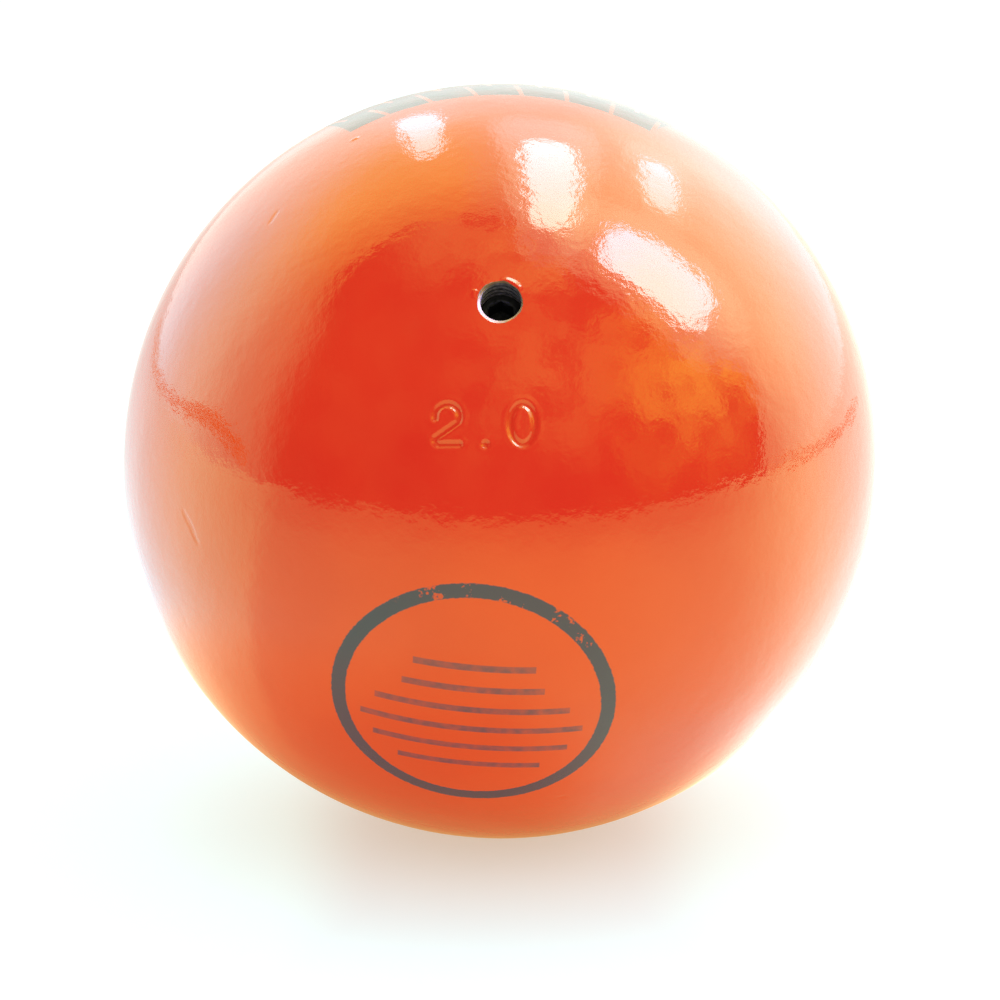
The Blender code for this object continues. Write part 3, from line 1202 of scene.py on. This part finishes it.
def painted_floor_reflection(tree, place):
    """The floor's painted light as the gloss shows it, by the turn from the ball's foot and the distance
    from it, with a painted shadow and a painted orange bounce at the foot.
    """
    from_foot = vector_math(tree, "MULTIPLY", place, (1.0, 1.0, 0.0))
    aside, back = parts_of(tree, vector_math(tree, "NORMALIZE", from_foot))[:2]
    far = vector_math(tree, "LENGTH", from_foot, result="Value")
    parts = {"aside": aside, "back": back, "far": far}
    level = times(tree, level_of(tree, parts, PAINTED_FLOOR_LEVEL), level_of(tree, parts, PAINTED_FLOOR_FALL))
    # Near the foot, and further out on the left, the painted contact shadow and bounce take the place of
    # the floor's light
    open_side = ramp(tree, aside, -0.2, 0.6)
    inner = scaled(tree, open_side, -0.010, 0.020)
    outer = scaled(tree, open_side, -0.040, 0.082)
    clear = ramp(tree, far, inner, outer)
    level = node(tree, "Mix", {0: clear, 2: PAINTED_CONTACT_SHADOW_LEVEL, 3: level}).outputs[0]
    colour = blend_colour(tree, clear, PAINTED_CONTACT_BOUNCE_COLOUR, colour_of(tree, parts, PAINTED_FLOOR_COLOURS))
    return brighten(tree, colour, level)


def lay_floor():
    """A white sheet, lit from below as well, whose front edge lies nearer than its back."""
    bpy.ops.mesh.primitive_plane_add(size=1.0)
    floor = named("floor")
    edit(floor, "EDGE", whole=True)
    resize((5.0, 4.0, 1.0))
    move((0.0, 0.8, BALL_LOW.z))
    close_edit()
    material, tree, shader = new_material("white_sheet")
    feed(tree, shader, {"Base Color": SHEET_COLOUR, "Roughness": 0.9, "Specular IOR Level": 0.0})
    place = node(tree, "TexCoord").outputs["Object"]
    rays = node(tree, "LightPath").outputs
    across = math_of(tree, "ABSOLUTE", parts_of(tree, place)[0])
    far = vector_math(tree, "DISTANCE", place, (0.0, 0.0, BALL_LOW.z), result="Value")
    # Right under the ball the glow is dimmer and warmer: a painted shadow with a painted warm bounce
    clear = math_of(tree, "MAXIMUM", ramp(tree, across, 0.013, 0.025), ramp(tree, far, 0.03, 0.06))
    below = blend_colour(tree, clear, PAINTED_SHADOW_GLOW_UNDER_BALL, GLOW_AWAY)
    glow = blend_colour(tree, rays["Is Glossy Ray"], below, painted_floor_reflection(tree, place))
    light = node(tree, "Emission", {"Color": glow}).outputs[0]
    share = scaled(tree, rays["Is Glossy Ray"], GLOW_MORE_IN_GLOSS, GLOW_SHARE)
    share = scaled(tree, rays["Is Camera Ray"], GLOW_MORE_TO_CAMERA, share)
    both = node(tree, "MixShader", {0: share, 1: shader.outputs[0], 2: light}).outputs[0]
    feed(tree, tree.nodes["Material Output"], {"Surface": both})
    floor.data.materials.append(material)


# A dark gap low round the studio's sheet, seen only in the gloss, where it glows a dim orange: a
# painted reflection. Its middle line's points, and half its height there. It stands on the floor at
# the right, and widens towards the front left
SEAM_RIGHT = (
    (1.90, -0.09, 0.010), (1.09, 0.12, 0.0075), (0.74, 0.23, 0.0052), (0.55, 0.27, 0.0038),
    (0.41, 0.29, 0.0028), (0.31, 0.35, 0.0018),
)
SEAM_LEFT = (
    (-0.38, 0.72, -0.034, 0.005), (-0.52, 0.62, -0.025, 0.007), (-0.61, 0.55, -0.010, 0.008),
    (-0.71, 0.41, 0.025, 0.010), (-0.78, 0.26, 0.060, 0.014), (-0.81, 0.14, 0.090, 0.022),
    (-0.82, 0.01, 0.078, 0.026), (-0.82, -0.12, 0.038, 0.022),
)


def hang_ribbon(name, points):
    """An upright ribbon, extruded from point to point of its middle line."""
    (*middle, half), *rest = points
    middle = Vector(middle)
    ribbon = open_point(name, middle - Vector((0.0, 0.0, half)))
    extrude((0.0, 0.0, 2 * half))
    bpy.ops.mesh.select_all(action="SELECT")
    for *place, next_half in rest:
        place = Vector(place)
        extrude(place - middle)
        resize((1.0, 1.0, next_half / half), place)
        middle, half = place, next_half
    close_edit()
    return ribbon


def hang_seam():
    """Hangs the gap's ribbons: one at the right, and two at the left, where a rim divides it."""
    material, tree, shader = new_material("dark_gap")
    light = node(tree, "Emission", {"Color": SEAM_REFLECTION_COLOUR}).outputs[0]
    feed(tree, tree.nodes["Material Output"], {"Surface": light})
    floor = BALL_LOW.z
    right = [(across, along, floor + half, half) for across, along, half in SEAM_RIGHT]
    upper = [(across, along, height + half / 3, half / 2) for across, along, height, half in SEAM_LEFT]
    lower = [
        (across, along, height - 0.8 * half, half / 4) for across, along, height, half in SEAM_LEFT[3:]
    ]
    for name, points in (("seam_right", right), ("seam_upper", upper), ("seam_lower", lower)):
        ribbon = hang_ribbon(name, points)
        ribbon.data.materials.append(material)
        for rays in ("camera", "diffuse", "shadow"):
            setattr(ribbon, "visible_" + rays, False)


def set_camera(settings):
    camera = bpy.data.objects.new("camera", bpy.data.cameras.new("camera"))
    bpy.context.scene.collection.objects.link(camera)
    camera.data.lens = settings.focal_length
    camera.data.sensor_width = 36.0
    camera.data.clip_start = 0.05
    camera.data.clip_end = 50.0
    slope = settings.elevation
    camera.location = settings.distance * Vector((0.0, -math.cos(slope), math.sin(slope)))
    pitch = math.pi / 2 - slope - settings.aim_below
    camera.rotation_euler = Euler((pitch, 0.0, settings.aim_left))
    bpy.context.scene.camera = camera


class SHOTPUT_OT_stage(bpy.types.Operator):
    """Set the camera, the white floor and the studio's light"""

    bl_idname = "shotput.stage"
    bl_label = "Stage"

    def execute(self, context):
        settings = context.scene.shotput_stage
        context.scene.view_settings.view_transform = "Standard"
        set_camera(settings)
        light_studio(settings)
        lay_floor()
        hang_seam()
        return {"FINISHED"}


class SHOTPUT_PT_panel(bpy.types.Panel):
    """Lists the shot put's operators and settings"""

    bl_label = "Shot put"
    bl_idname = "SHOTPUT_PT_panel"
    bl_space_type = "VIEW_3D"
    bl_region_type = "UI"
    bl_category = "Shot put"

    def draw(self, context):
        for operator, settings in PANEL_ROWS:
            self.layout.operator(operator)
            if settings:
                group = getattr(context.scene, settings)
                for name in group.__annotations__:
                    self.layout.prop(group, name)


PANEL_ROWS = (
    ("shotput.ball", "shotput_casting"),
    ("shotput.plug", "shotput_bore"),
    ("shotput.pellets", None),
    ("shotput.stage", "shotput_stage"),
)
SETTINGS = {
    "shotput_casting": CastingSettings,
    "shotput_bore": BoreSettings,
    "shotput_stage": StageSettings,
}
CLASSES = (
    *SETTINGS.values(),
    SHOTPUT_OT_ball,
    SHOTPUT_OT_plug,
    SHOTPUT_OT_pellets,
    SHOTPUT_OT_stage,
    SHOTPUT_PT_panel,
)


def register():
    for each in CLASSES:
        bpy.utils.register_class(each)
    for name, group in SETTINGS.items():
        setattr(bpy.types.Scene, name, PointerProperty(type=group))


def unregister():
    for name in SETTINGS:
        delattr(bpy.types.Scene, name)
    for each in reversed(CLASSES):
        bpy.utils.unregister_class(each)


def main():
    register()
    bpy.ops.shotput.stage()
    bpy.ops.shotput.ball()
    bpy.ops.shotput.plug()
    bpy.ops.shotput.pellets()


if __name__ == "__main__":
    main()
